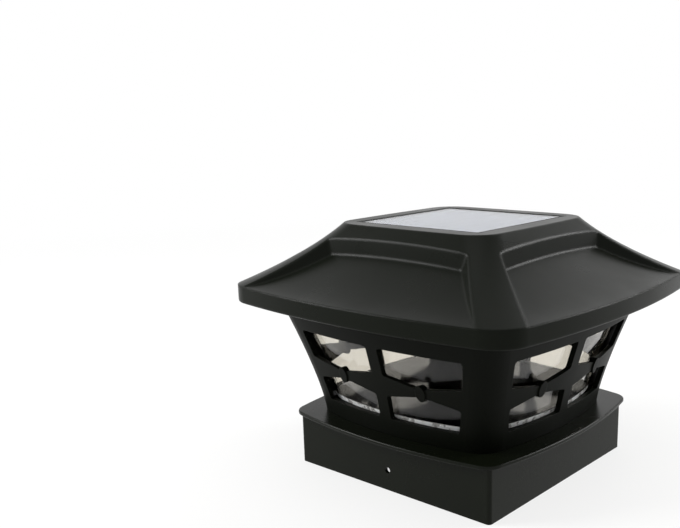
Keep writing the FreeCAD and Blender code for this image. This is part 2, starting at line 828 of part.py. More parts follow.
def board_screws():
    return Part.makeCompound([screw(x, y, board_top, board_thickness + board_post_height - 1, True, True)
                              for x, y in board_hole_places()])


def driver_chip():
    return box(chip_place, board_place, board_top, chip_length, chip_width, chip_height)


def choke_coil():
    flanges = [pin(0, board_place, z, choke_diameter / 2, choke_flange)
               for z in (board_top, board_top + choke_height - choke_flange)]
    winding = pin(0, board_place, board_top + choke_flange, choke_winding_diameter / 2,
                  choke_height - 2 * choke_flange)
    return flanges[0].fuse([winding, flanges[1]]).removeSplitter()


def capacitor():
    can = pin(capacitor_place, board_place, board_top, capacitor_diameter / 2, capacitor_height)
    return can.makeFillet(capacitor_edge_radius, edges_near(can, lambda e: e.BoundBox.ZMin > board_top + 1))


def led_board():
    return pin(0, 0, led_z, led_board_diameter / 2, led_board_thickness)


def led_lamps():
    """Round lamps with a collar and a dome, pointing down."""
    radius = led_diameter / 2
    lamps = []
    for i in range(led_count):
        angle = 2 * math.pi * (i + 0.5) / led_count
        x, y = led_ring_radius * math.cos(angle), led_ring_radius * math.sin(angle)
        stem = pin(x, y, led_z - led_height + radius, radius, led_height - radius)
        collar = pin(x, y, led_z - 1, radius + led_flange, 1)
        dome = Part.makeSphere(radius, Vector(x, y, led_z - led_height + radius))
        lamps.append(stem.fuse([collar, dome]).removeSplitter())
    return Part.makeCompound(lamps)


def reflector():
    top, low = led_z, led_z - reflector_depth
    throat, mouth, rim = reflector_throat / 2, reflector_mouth / 2, reflector_flange_diameter / 2
    wall = reflector_wall
    spots = [(throat, top), (rim, top), (rim, top - wall), (throat + wall, top - wall), (mouth + wall, low),
             (mouth, low), (throat, top - wall / 2)]
    points = [Vector(x, 0, z) for x, z in spots]
    bowl = Part.Face(Part.makePolygon(points + points[:1])).revolve(Vector(0, 0, 0), Vector(0, 0, 1), 360)
    holes = [pin(x, y, low - 1, small_hole_radius, reflector_depth + 2)
             for x, y in reflector_screw_places()]
    sinks = [pin(x, y, low - 1, small_sink_radius, reflector_depth + 1 - wall)
             for x, y in reflector_screw_places()]
    return bowl.cut(holes + sinks)


def reflector_screws():
    seat = led_z - reflector_wall
    length = reflector_wall + tray_thickness + board_post_height - 2
    return Part.makeCompound([screw(x, y, seat, length, small=True) for x, y in reflector_screw_places()])


def switch_body():
    bottom = tray_top
    ear_bottom = tray_top + switch_carriage_height
    shell = box(switch_place, 0, bottom, switch_width, switch_length, switch_height)
    ears = box(switch_place, 0, ear_bottom, switch_ear, switch_length + 2 * switch_ear, switch_ear_thickness)
    room = box(switch_place, 0, bottom - 1, switch_width - 2 * switch_wall, switch_length - 2 * switch_wall,
               switch_carriage_height + 1 + switch_play)
    holes = [pin(switch_place, y, bottom, small_hole_radius, switch_height)
             for y in switch_screw_places()]
    return shell.fuse(ears).cut([room] + holes).removeSplitter()


def switch_screws():
    seat = tray_top + switch_carriage_height + switch_ear_thickness
    length = switch_carriage_height + switch_ear_thickness + 1
    return Part.makeCompound([screw(switch_place, y, seat, length, True, True)
                              for y in switch_screw_places()])


def switch_slider():
    """The slider at its off end: a carriage inside the switch and a knob through the tray's slot."""
    y = -switch_travel / 2
    run = switch_length - 2 * switch_wall
    carriage = box(switch_place, y, tray_top + switch_play / 2, switch_width - 2 * switch_wall - switch_play,
                   run - switch_travel - 2 * switch_play, switch_carriage_height)
    knob = box(switch_place, y, body_top - switch_knob_reach, switch_knob_width, switch_knob_length,
               tray_top + 1 - body_top + switch_knob_reach)
    return carriage.fuse(knob).removeSplitter()


def wire(start, end, level):
    """A wire that leaves start upright, crosses over at level and meets end upright, rounded at each bend."""
    first = Vector(start.x, start.y, level)
    second = Vector(end.x, end.y, level)
    edges = []
    here = start
    for corner, following in ((first, second), (second, end)):
        back = (here - corner).normalize()
        ahead = (following - corner).normalize()
        enter = corner + back * wire_bend
        leave = corner + ahead * wire_bend
        middle = corner + (back + ahead) * wire_bend * (1 - root_half)
        edges += [Part.makeLine(here, enter), Part.Arc(enter, middle, leave).toShape()]
        here = leave
    edges.append(Part.makeLine(here, end))
    path = Part.Wire(edges)
    section = Part.Circle(start, Vector(0, 0, 1), wire_diameter / 2).toShape()
    solid = path.makePipeShell([Part.Wire([section])], True, False)
    share = solid.Volume / (math.pi * wire_diameter ** 2 / 4 * path.Length)
    print("wire bends", wire_bend, "length", round(path.Length, 1), "volume share", round(share, 4))
    return solid


def panel_wire(side):
    x = side * wire_pitch / 2
    landing = board_place - board_width / 2 + panel_wire_landing
    return wire(Vector(x, wire_hole_place, panel_board_z), Vector(x, landing, board_top), panel_wire_level)


def led_wire(side):
    x = side * wire_pitch / 2
    landing = board_place - board_width / 2 + led_wire_landing
    return wire(Vector(x, 0, led_board_top), Vector(x, landing, board_top), led_wire_level)


def battery_wire(side):
    start = Vector(side * contact_place(), battery_place, contact_tab_top())
    landing = board_place - board_width / 2 + battery_wire_inset
    return wire(start, Vector(side * battery_wire_landing, landing, board_top), battery_wire_level)


def switch_wires():
    wires = []
    for y in (-wire_pitch / 2, wire_pitch / 2):
        start = Vector(switch_place, y, tray_top + switch_height)
        end = Vector(switch_wire_landing, board_place + y, board_top)
        wires.append(wire(start, end, switch_wire_level))
    return Part.makeCompound(wires)


parts = {
    "base_cap": base_cap,
    "body_screws": body_screws,
    "lattice_body": lattice_body,
    "clear_lens": clear_lens,
    "mirror_plate": mirror_plate,
    "roof_shell": roof_shell,
    "under_tray": under_tray,
    "tray_seal": tray_seal,
    "tray_screws": tray_screws,
    "panel_seal": panel_seal,
    "panel_board": panel_board,
    "solar_cells": solar_cells,
    "panel_cover": panel_cover,
    "battery_cell": battery_cell,
    "positive_contact": lambda: battery_contact(1),
    "negative_contact": lambda: battery_contact(-1),
    "battery_door": battery_door,
    "door_seal": door_seal,
    "door_screws": door_screws,
    "circuit_board": circuit_board,
    "board_screws": board_screws,
    "driver_chip": driver_chip,
    "choke_coil": choke_coil,
    "capacitor": capacitor,
    "led_board": led_board,
    "led_lamps": led_lamps,
    "reflector": reflector,
    "reflector_screws": reflector_screws,
    "switch_body": switch_body,
    "switch_screws": switch_screws,
    "switch_slider": switch_slider,
    "panel_wire_positive": lambda: panel_wire(1),
    "panel_wire_negative": lambda: panel_wire(-1),
    "led_wire_positive": lambda: led_wire(1),
    "led_wire_negative": lambda: led_wire(-1),
    "battery_wire_positive": lambda: battery_wire(1),
    "battery_wire_negative": lambda: battery_wire(-1),
    "switch_wires": switch_wires,
}

os.makedirs("parts", exist_ok=True)
for name, make in parts.items():
    shape = make()
    shape.exportStep("parts/" + name + ".step")
    print(name, "solids", len(shape.Solids), "valid", shape.isValid(), "volume", round(shape.Volume, 1))
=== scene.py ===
import math

import bmesh
import bpy
from mathutils import Matrix, Vector


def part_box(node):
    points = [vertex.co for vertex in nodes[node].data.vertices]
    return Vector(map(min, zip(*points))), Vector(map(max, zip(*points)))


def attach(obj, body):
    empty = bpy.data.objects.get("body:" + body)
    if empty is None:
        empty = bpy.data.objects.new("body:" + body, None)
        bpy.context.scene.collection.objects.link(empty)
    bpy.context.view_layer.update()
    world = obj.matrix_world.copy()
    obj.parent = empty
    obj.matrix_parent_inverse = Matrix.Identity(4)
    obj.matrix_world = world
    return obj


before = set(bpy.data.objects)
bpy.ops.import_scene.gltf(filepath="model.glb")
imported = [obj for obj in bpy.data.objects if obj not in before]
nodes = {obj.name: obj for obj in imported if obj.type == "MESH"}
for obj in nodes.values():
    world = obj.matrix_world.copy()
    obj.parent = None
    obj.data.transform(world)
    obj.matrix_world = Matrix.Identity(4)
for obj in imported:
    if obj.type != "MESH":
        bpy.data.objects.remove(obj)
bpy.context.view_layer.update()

MM = 0.001  # one millimetre in the scene's metres


# ---------------------------------------------------------------- colours and nodes

def linear(hex_colour):
    """The linear colour of an sRGB hex value."""
    channels = [int(hex_colour[i:i + 2], 16) / 255 for i in (1, 3, 5)]
    return tuple(c / 12.92 if c <= 0.04045 else ((c + 0.055) / 1.055) ** 2.4 for c in channels) + (1.0,)


def add(tree, kind, inputs=None, **settings):
    """A node of a kind, with its settings and with its inputs given as values or as sockets to link."""
    node = tree.nodes.new(kind)
    for name, value in settings.items():
        setattr(node, name, value)
    for socket, value in (inputs or {}).items():
        if isinstance(value, bpy.types.NodeSocket):
            tree.links.new(value, node.inputs[socket])
        else:
            node.inputs[socket].default_value = value
    return node


def finish(name, colour, roughness, **sockets):
    """A material with its uniform values on the shader's own sockets, its tree, shader and coordinates."""
    material = bpy.data.materials.new(name)
    material.use_nodes = True
    tree = material.node_tree
    shader = tree.nodes["Principled BSDF"]
    shader.inputs["Base Color"].default_value = linear(colour)
    shader.inputs["Roughness"].default_value = roughness
    for socket, value in sockets.items():
        shader.inputs[socket.replace("_", " ")].default_value = value
    place = add(tree, "ShaderNodeTexCoord").outputs["Object"]
    return material, tree, shader, place


def mottled(tree, shader, place, size_mm, low, high):
    """The base colour drifts between two hex colours in soft patches about size_mm across."""
    noise = add(tree, "ShaderNodeTexNoise", {"Vector": place, "Scale": 1 / (size_mm * MM), "Detail": 3.0})
    ramp = add(tree, "ShaderNodeValToRGB", {"Fac": noise.outputs["Fac"]})
    ramp.color_ramp.elements[0].position, ramp.color_ramp.elements[1].position = 0.3, 0.7
    ramp.color_ramp.elements[0].color, ramp.color_ramp.elements[1].color = linear(low), linear(high)
    tree.links.new(ramp.outputs["Color"], shader.inputs["Base Color"])
    return ramp


def uneven_gloss(tree, shader, place, size_mm, low, high):
    """The roughness drifts between two values in patches about size_mm across."""
    noise = add(tree, "ShaderNodeTexNoise", {"Vector": place, "Scale": 1 / (size_mm * MM), "Detail": 4.0})
    spread = add(tree, "ShaderNodeMapRange", {"Value": noise.outputs["Fac"], "From Min": 0.3, "From Max": 0.7,
                                              "To Min": low, "To Max": high})
    tree.links.new(spread.outputs["Result"], shader.inputs["Roughness"])


def grain(tree, shader, height, depth_mm, strength, edge_mm=0.0):
    """A bump of this depth from a height socket. With edge_mm the shading rounds edges to that radius too."""
    inputs = {"Height": height, "Distance": depth_mm * MM, "Strength": strength}
    if edge_mm:
        inputs["Normal"] = add(tree, "ShaderNodeBevel", {"Radius": edge_mm * MM}, samples=6).outputs["Normal"]
    bump = add(tree, "ShaderNodeBump", inputs)
    tree.links.new(bump.outputs["Normal"], shader.inputs["Normal"])


# ---------------------------------------------------------------- plastics of the housing

def moulded_black_abs(name, colour, roughness, gloss, edge_mm):
    """Injection-moulded black ABS with a fine spark-eroded grain: very dark face on, paler along its surface,
    with soft light on its rounded edges and faint patches where the melt cooled unevenly."""
    material, tree, shader, place = finish(name, colour, roughness, IOR=1.5, Specular_IOR_Level=gloss)
    uneven_gloss(tree, shader, place, 35.0, roughness - 0.04, roughness + 0.05)
    # Spark grain is about 0.1 mm; drawn at 0.5 mm so that it shows in the picture.
    sparks = add(tree, "ShaderNodeTexNoise", {"Vector": place, "Scale": 1 / (0.5 * MM), "Detail": 2.0})
    grain(tree, shader, sparks.outputs["Fac"], 0.02, 0.2, edge_mm)
    return material


roof_black = moulded_black_abs("moulded_black_abs_satin", "#0c0f09", 0.3, 0.068, 1.8)
# Painted shade: the body's black is darker than the roof's. Part of that is its own duller plastic, and part
# is the shade of the roof above it, painted into its colour.
body_black_and_painted_shade = moulded_black_abs("moulded_black_abs_low_sheen_and_painted_shade", "#090b07", 0.4, 0.04, 0.5)
skirt_black = moulded_black_abs("moulded_black_abs_polished_flange", "#0d1009", 0.25, 0.105, 0.5)


def moulded_inner_abs():
    """Matt moulded ABS of the tray, door and switch: dull, with a slightly coarser grain than the housing."""
    material, tree, shader, place = finish("moulded_black_abs_matt", "#20211f", 0.62, IOR=1.5,
                                           Specular_IOR_Level=0.35)
    sparks = add(tree, "ShaderNodeTexNoise", {"Vector": place, "Scale": 1 / (0.6 * MM), "Detail": 2.0})
    uneven_gloss(tree, shader, place, 25.0, 0.56, 0.68)
    grain(tree, shader, sparks.outputs["Fac"], 0.04, 0.35, 0.3)
    return material


inner_black = moulded_inner_abs()


def polished_acrylic():
    """Clear moulded acrylic: faintly smoked, with sharp reflections and slight flow waves that bend what is
    behind. Its foot, where the cup stands and holds its floor, is frosted and whitened with painted light."""
    material, tree, shader, place = finish("moulded_clear_acrylic", "#e7e4dd", 0.03, IOR=1.49,
                                           Specular_Tint=linear("#8f9193"), Transmission_Weight=1.0)
    # Painted light: below the mirror plate's top the acrylic is made cloudy and whitish, standing for the
    # light that its clear foot carries.
    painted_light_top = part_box("mirror_plate")[1].z
    height = add(tree, "ShaderNodeSeparateXYZ", {"Vector": place}).outputs["Z"]
    foot = add(tree, "ShaderNodeMath", {0: height, 1: painted_light_top}, operation="LESS_THAN").outputs[0]
    # The frost and its painted light are uneven, in patches of about 5 mm.
    patches = add(tree, "ShaderNodeTexNoise", {"Vector": place, "Scale": 1 / (5 * MM), "Detail": 2.0})
    density = add(tree, "ShaderNodeMapRange", {"Value": patches.outputs["Fac"], "From Min": 0.35,
                                               "From Max": 0.6, "To Min": 0.35, "To Max": 1.0})
    frost_and_painted_light = add(tree, "ShaderNodeMath", {0: foot, 1: density.outputs["Result"]},
                operation="MULTIPLY").outputs[0]
    # Painted light: the foot's clearness drops to 0.2, so that it shows as a pale band.
    clearness = add(tree, "ShaderNodeMapRange", {"Value": frost_and_painted_light, "To Min": 1.0, "To Max": 0.2})
    gloss = add(tree, "ShaderNodeMapRange", {"Value": frost_and_painted_light, "To Min": 0.03, "To Max": 0.4})
    shade = add(tree, "ShaderNodeMix", {"Factor": frost_and_painted_light, "A": linear("#e7e4dd"), "B": linear("#e6e8e8")},
                data_type="RGBA")
    tree.links.new(shade.outputs["Result"], shader.inputs["Base Color"])
    tree.links.new(clearness.outputs["Result"], shader.inputs["Transmission Weight"])
    tree.links.new(gloss.outputs["Result"], shader.inputs["Roughness"])
    waves = add(tree, "ShaderNodeTexNoise", {"Vector": place, "Scale": 1 / (18 * MM), "Detail": 1.0})
    grain(tree, shader, waves.outputs["Fac"], 0.35, 0.5)
    return material


clear_acrylic = polished_acrylic()


def metallised_mirror():
    """Plastic plate metallised in vacuum: a grey mirror, waved where the moulding under it shrank."""
    material, tree, shader, place = finish("vacuum_metallised_plastic", "#54565a", 0.08, Metallic=1.0)
    shrink = add(tree, "ShaderNodeTexNoise", {"Vector": place, "Scale": 1 / (16 * MM), "Detail": 1.5})
    grain(tree, shader, shrink.outputs["Fac"], 0.5, 0.35)
    uneven_gloss(tree, shader, place, 9.0, 0.06, 0.14)
    return material


mirror_film = metallised_mirror()


def textured_panel_glass():
    """Low-iron panel glass, finely pitted and coated against reflection: pale and hazy along its surface,
    clear from above."""
    material, tree, shader, place = finish("rolled_panel_glass", "#e6ecf6", 0.12, IOR=1.32,
                                           Transmission_Weight=0.97, Sheen_Weight=0.04, Sheen_Roughness=0.35,
                                           Sheen_Tint=linear("#cfdaf0"))
    pits = add(tree, "ShaderNodeTexVoronoi", {"Vector": place, "Scale": 1 / (0.8 * MM)})
    grain(tree, shader, pits.outputs["Distance"], 0.02, 0.2)
    return material


panel_glass = textured_panel_glass()


def polycrystalline_silicon():
    """Cast silicon cells under an anti-reflection film, so with hardly a shine: deep blue, broken into
    crystal flakes of slightly different blue, about 4 mm across."""
    material, tree, shader, place = finish("cast_silicon_cell", "#141d3a", 0.3, IOR=1.5,
                                           Specular_IOR_Level=0.02)
    flakes = add(tree, "ShaderNodeTexVoronoi", {"Vector": place, "Scale": 1 / (4.0 * MM)})
    tint = add(tree, "ShaderNodeSeparateColor", {"Color": flakes.outputs["Color"]})
    ramp = add(tree, "ShaderNodeValToRGB", {"Fac": tint.outputs["Red"]})
    ramp.color_ramp.elements[0].color = linear("#10182f")
    ramp.color_ramp.elements[1].color = linear("#22325c")
    tree.links.new(ramp.outputs["Color"], shader.inputs["Base Color"])
    return material


cell_silicon = polycrystalline_silicon()


def foam_rubber():
    """Closed-cell foam rubber: matt black, pitted with small pores."""
    material, tree, shader, place = finish("cut_foam_rubber", "#161616", 0.85, Specular_IOR_Level=0.3)
    pores = add(tree, "ShaderNodeTexVoronoi", {"Vector": place, "Scale": 1 / (0.7 * MM)})
    mottled(tree, shader, place, 3.0, "#121212", "#1d1d1c")
    grain(tree, shader, pores.outputs["Distance"], 0.08, 0.6)
    return material


seal_rubber = foam_rubber()


# ---------------------------------------------------------------- metals

def zinc_plated_steel():
    """Bright zinc plate on turned steel screws: pale grey metal, unevenly bright, with faint tool marks."""
    material, tree, shader, place = finish("zinc_plated_steel", "#b9bbb8", 0.34, Metallic=1.0)
    mottled(tree, shader, place, 2.0, "#a9aba8", "#c6c8c4")
    uneven_gloss(tree, shader, place, 1.5, 0.27, 0.42)
    marks = add(tree, "ShaderNodeTexNoise", {"Vector": place, "Scale": 1 / (0.25 * MM), "Detail": 1.0})
    grain(tree, shader, marks.outputs["Fac"], 0.01, 0.3)
    return material


def nickel_plated_strip():
    """Nickel-plated spring strip: warm bright metal with fine rolling lines along its height."""
    material, tree, shader, place = finish("nickel_plated_strip", "#c4beb2", 0.26, Metallic=1.0)
    along = add(tree, "ShaderNodeMapping", {"Vector": place, "Scale": (1.0, 1.0, 0.05)})
    lines = add(tree, "ShaderNodeTexNoise", {"Vector": along.outputs["Vector"], "Scale": 1 / (0.3 * MM)})
    uneven_gloss(tree, shader, place, 4.0, 0.2, 0.34)
    grain(tree, shader, lines.outputs["Fac"], 0.01, 0.3)
    return material


def drawn_aluminium_can():
    """The capacitor's drawn aluminium can: light satin metal with faint vertical drawing lines."""
    material, tree, shader, place = finish("drawn_aluminium_can", "#c9cacb", 0.3, Metallic=1.0)
    along = add(tree, "ShaderNodeMapping", {"Vector": place, "Scale": (1.0, 1.0, 0.04)})
    lines = add(tree, "ShaderNodeTexNoise", {"Vector": along.outputs["Vector"], "Scale": 1 / (0.2 * MM)})
    uneven_gloss(tree, shader, place, 3.0, 0.24, 0.38)
    grain(tree, shader, lines.outputs["Fac"], 0.01, 0.3)
    return material


screw_zinc = zinc_plated_steel()
strip_nickel = nickel_plated_strip()
can_aluminium = drawn_aluminium_can()


# ---------------------------------------------------------------- battery, boards and light source

def shrunk_battery_sleeve():
    """The battery's shrunk plastic sleeve: glossy mid green with a pale steel ring and cap at its ends."""
    material, tree, shader, place = finish("shrunk_pvc_battery_sleeve", "#2f7a45", 0.25, IOR=1.53)
    low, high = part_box("battery_cell")
    along = add(tree, "ShaderNodeSeparateXYZ", {"Vector": place}).outputs["X"]
    # The steel shows on the cap with a thin ring beside it, and on a thin ring at the other end.
    cap_start, foot_end = high.x - 1.3 * MM, low.x + 0.15 * MM
    cap = add(tree, "ShaderNodeMath", {0: along, 1: cap_start}, operation="GREATER_THAN").outputs[0]
    foot = add(tree, "ShaderNodeMath", {0: along, 1: foot_end}, operation="LESS_THAN").outputs[0]
    bare = add(tree, "ShaderNodeMath", {0: cap, 1: foot}, operation="MAXIMUM").outputs[0]
    shade = add(tree, "ShaderNodeMix", {"Factor": bare, "A": linear("#2f7a45"), "B": linear("#b5b5b0")},
                data_type="RGBA")
    tree.links.new(shade.outputs["Result"], shader.inputs["Base Color"])
    tree.links.new(bare, shader.inputs["Metallic"])
    creases = add(tree, "ShaderNodeTexNoise", {"Vector": place, "Scale": 1 / (2.5 * MM), "Detail": 2.0})
    grain(tree, shader, creases.outputs["Fac"], 0.05, 0.2)
    return material


battery_sleeve = shrunk_battery_sleeve()


def solder_masked_laminate(name, colour, darker):
    """Glass-fibre laminate under solder mask: glossy, with its weave just showing as fine wavy lines."""
    material, tree, shader, place = finish(name, colour, 0.3, IOR=1.55)
    mottled(tree, shader, place, 6.0, darker, colour)
    # The weave's threads are about 0.4 mm apart. A scale of 125 draws them 2.5 mm apart, so that they show.
    weave = add(tree, "ShaderNodeTexWave", {"Vector": place, "Scale": 1 / (0.4 * 20 * MM), "Distortion": 0.4})
    grain(tree, shader, weave.outputs["Fac"], 0.02, 0.2)
    return material


green_laminate = solder_masked_laminate("green_masked_laminate", "#1f6b3a", "#185a30")
white_laminate = solder_masked_laminate("white_masked_laminate", "#dedfda", "#d2d3cd")


def moulded_white_pc():
    """White moulded polycarbonate of the lamp's bowl: bright, smooth and lightly glossy."""
    material, tree, shader, place = finish("moulded_white_polycarbonate", "#e9e9e4", 0.22, IOR=1.58)
    mottled(tree, shader, place, 20.0, "#e2e2dc", "#efefea")
    uneven_gloss(tree, shader, place, 12.0, 0.18, 0.28)
    return material


def cast_lamp_resin():
    """Clear epoxy cast round each lamp's die: glassy, faintly warm from the phosphor inside."""
    material, tree, shader, place = finish("cast_lamp_epoxy", "#fbf3d8", 0.05, IOR=1.54,
                                           Transmission_Weight=0.9)
    drift = add(tree, "ShaderNodeTexNoise", {"Vector": place, "Scale": 1 / (2.0 * MM)})
    grain(tree, shader, drift.outputs["Fac"], 0.02, 0.2)
    return material


def moulded_chip_resin():
    """Black moulding resin of the driver chip: matt and very finely pitted."""
    material, tree, shader, place = finish("moulded_chip_resin", "#1c1d1e", 0.7)
    pits = add(tree, "ShaderNodeTexNoise", {"Vector": place, "Scale": 1 / (0.15 * MM), "Detail": 1.0})
    grain(tree, shader, pits.outputs["Fac"], 0.02, 0.4)
    mottled(tree, shader, place, 2.0, "#191a1b", "#202122")
    return material


def wound_choke():
    """Pressed ferrite with lacquered copper wire round its waist: dark grey flanges and a ribbed winding."""
    material, tree, shader, place = finish("ferrite_and_lacquered_copper", "#2e2f31", 0.55)
    low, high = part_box("choke_coil")
    height = add(tree, "ShaderNodeSeparateXYZ", {"Vector": place}).outputs["Z"]
    middle, flange = (low.z + high.z) / 2, 0.8 * MM
    waist = (high.z - low.z) / 2 - flange
    offset = add(tree, "ShaderNodeMath", {0: height, 1: middle}, operation="SUBTRACT").outputs[0]
    away = add(tree, "ShaderNodeMath", {0: offset}, operation="ABSOLUTE").outputs[0]
    wire = add(tree, "ShaderNodeMath", {0: away, 1: waist}, operation="LESS_THAN").outputs[0]
    shade = add(tree, "ShaderNodeMix", {"Factor": wire, "A": linear("#2e2f31"), "B": linear("#a2592c")},
                data_type="RGBA")
    tree.links.new(shade.outputs["Result"], shader.inputs["Base Color"])
    tree.links.new(wire, shader.inputs["Metallic"])
    # The lacquered wire is about 0.3 mm thick. A scale of 167 draws its turns 1.9 mm apart, so they show.
    turns = add(tree, "ShaderNodeTexWave", {"Vector": place, "Scale": 1 / (0.3 * 20 * MM)},
                bands_direction="Z")
    grain(tree, shader, turns.outputs["Fac"], 0.1, 0.6)
    return material


def extruded_pvc(name, colour, darker):
    """Wire insulation of extruded PVC: smooth and softly shining, with faint drifts of colour and height."""
    material, tree, shader, place = finish(name, colour, 0.38, IOR=1.53)
    drifts = mottled(tree, shader, place, 1.5, darker, colour)
    grain(tree, shader, drifts.outputs["Color"], 0.02, 0.2)
    return material


red_pvc = extruded_pvc("extruded_red_pvc", "#b32a20", "#9c2119")
black_pvc = extruded_pvc("extruded_black_pvc", "#1d1d1e", "#151516")


def printed_silver():
    """Silver paste fired on the cells: pale, matt metal, slightly mottled along its printed lines."""
    material, tree, shader, place = finish("fired_silver_paste", "#c9cbce", 0.45, Metallic=1.0)
    mottled(tree, shader, place, 0.8, "#b6b9bd", "#d6d8da")
    return material


def flowed_solder():
    """Solder that has flowed and set: bright grey and smooth, with a faint frosty patch here and there."""
    material, tree, shader, place = finish("flowed_solder", "#c4c6c8", 0.25, Metallic=1.0)
    uneven_gloss(tree, shader, place, 0.6, 0.18, 0.4)
    return material


def lamp_phosphor():
    """Yellow phosphor over each lamp's die: an opaque, powdery warm yellow."""
    material, tree, shader, place = finish("cast_yellow_phosphor", "#e2c24a", 0.8)
    mottled(tree, shader, place, 0.3, "#d9b63e", "#ead062")
    return material


def silicone_sealant():
    """Black silicone pressed into the gap and wiped: rubbery, with a dull skin and shallow wipe marks."""
    material, tree, shader, place = finish("cured_black_silicone", "#10110f", 0.5, Specular_IOR_Level=0.06)
    wipes = add(tree, "ShaderNodeTexNoise", {"Vector": place, "Scale": 1 / (2.5 * MM), "Detail": 2.0})
    uneven_gloss(tree, shader, place, 4.0, 0.42, 0.58)
    grain(tree, shader, wipes.outputs["Fac"], 0.05, 0.3)
    return material


sealant = silicone_sealant()
silver_paste = printed_silver()
solder = flowed_solder()
phosphor = lamp_phosphor()
white_moulding = moulded_white_pc()
lamp_epoxy = cast_lamp_resin()
chip_resin = moulded_chip_resin()
choke_finish = wound_choke()

finish_of_node = {
    "base_cap": skirt_black, "lattice_body": body_black_and_painted_shade, "roof_shell": roof_black,
    "under_tray": inner_black, "battery_door": inner_black, "switch_body": inner_black,
    "switch_slider": inner_black, "clear_lens": clear_acrylic, "mirror_plate": mirror_film,
    "panel_cover": panel_glass, "solar_cells": cell_silicon, "panel_board": white_laminate,
    "led_board": white_laminate, "circuit_board": green_laminate, "tray_seal": seal_rubber,
    "panel_seal": seal_rubber, "door_seal": seal_rubber, "body_screws": screw_zinc, "tray_screws": screw_zinc,
    "door_screws": screw_zinc, "board_screws": screw_zinc, "reflector_screws": screw_zinc,
    "switch_screws": screw_zinc, "positive_contact": strip_nickel, "negative_contact": strip_nickel,
    "battery_cell": battery_sleeve, "driver_chip": chip_resin, "choke_coil": choke_finish,
    "capacitor": can_aluminium, "led_lamps": lamp_epoxy, "reflector": white_moulding,
    "panel_wire_positive": red_pvc, "panel_wire_negative": black_pvc, "led_wire_positive": red_pvc,
    "led_wire_negative": black_pvc, "battery_wire_positive": red_pvc, "battery_wire_negative": black_pvc,
    "switch_wires": black_pvc,
}
for name, node in nodes.items():
    node.data.materials.clear()
    node.data.materials.append(finish_of_node[name])


# ---------------------------------------------------------------- small repeated pieces

def repeat_tree(name, points_kind, shape_kind):
    """A tree that sets a small shape on every point of a line or ring, joins them and gives them a material.

    A line begins at Start and goes on by Step. A ring is centred on Start and turned by Turn.
    """
    tree = bpy.data.node_groups.new(name, "GeometryNodeTree")
    tree.interface.new_socket("Geometry", in_out="OUTPUT", socket_type="NodeSocketGeometry")
    inputs = {"Count": "NodeSocketInt", "Start": "NodeSocketVector", "Size": "NodeSocketVector",
              "Finish": "NodeSocketMaterial"}
    if points_kind == "line":
        inputs["Step"] = "NodeSocketVector"
    else:
        inputs.update({"Turn": "NodeSocketVector", "Ring Radius": "NodeSocketFloat"})
    for label, kind in inputs.items():
        tree.interface.new_socket(label, in_out="INPUT", socket_type=kind)
    given = tree.nodes.new("NodeGroupInput").outputs
    if points_kind == "line":
        points = add(tree, "GeometryNodeMeshLine", {"Count": given["Count"], "Start Location": given["Start"],
                                                    "Offset": given["Step"]}).outputs["Mesh"]
    else:
        ring = add(tree, "GeometryNodeMeshCircle", {"Vertices": given["Count"],
                                                    "Radius": given["Ring Radius"]}).outputs["Mesh"]
        points = add(tree, "GeometryNodeTransform", {"Geometry": ring, "Translation": given["Start"],
                                                     "Rotation": given["Turn"]}).outputs["Geometry"]
    if shape_kind == "bar":
        shape = add(tree, "GeometryNodeMeshCube", {"Size": given["Size"]}).outputs["Mesh"]
    else:
        ball = add(tree, "GeometryNodeMeshUVSphere", {"Segments": 12, "Rings": 6, "Radius": 0.5})
        shape = add(tree, "GeometryNodeTransform", {"Geometry": ball.outputs["Mesh"],
                                                    "Scale": given["Size"]}).outputs["Geometry"]
    placed = add(tree, "GeometryNodeInstanceOnPoints", {"Points": points, "Instance": shape})
    joined = add(tree, "GeometryNodeRealizeInstances", {"Geometry": placed.outputs["Instances"]})
    dressed = add(tree, "GeometryNodeSetMaterial", {"Geometry": joined.outputs["Geometry"],
                                                    "Material": given["Finish"]})
    result = tree.nodes.new("NodeGroupOutput")
    tree.links.new(dressed.outputs["Geometry"], result.inputs["Geometry"])
    return tree


line_of_bars = repeat_tree("line_of_bars", "line", "bar")
line_of_drops = repeat_tree("line_of_drops", "line", "drop")
ring_of_bars = repeat_tree("ring_of_bars", "ring", "bar")


def repeated(name, tree, material, rows):
    """One piece, a plain mesh, from several rows of a tree. Each row gives the tree's named inputs."""
    meshes = []
    for values in rows:
        holder = bpy.data.objects.new(name, bpy.data.meshes.new(name))
        bpy.context.scene.collection.objects.link(holder)
        modifier = holder.modifiers.new("repeat", "NODES")
        modifier.node_group = tree
        for item in tree.interface.items_tree:
            if item.in_out == "INPUT":
                value = material if item.name == "Finish" else values.get(item.name)
                if value is not None:
                    modifier[item.identifier] = value
        bpy.context.view_layer.update()
        made = holder.evaluated_get(bpy.context.evaluated_depsgraph_get())
        meshes.append(bpy.data.meshes.new_from_object(made))
        bpy.data.objects.remove(holder)
    piece = bpy.data.objects.new(name, joined_mesh(name, meshes, material))
    bpy.context.scene.collection.objects.link(piece)
    return piece


def joined_mesh(name, meshes, material):
    """One mesh of a single material from several."""
    build = bmesh.new()
    for mesh in meshes:
        build.from_mesh(mesh)
    whole = bpy.data.meshes.new(name)
    build.to_mesh(whole)
    build.free()
    whole.materials.clear()
    whole.materials.append(material)
    return whole


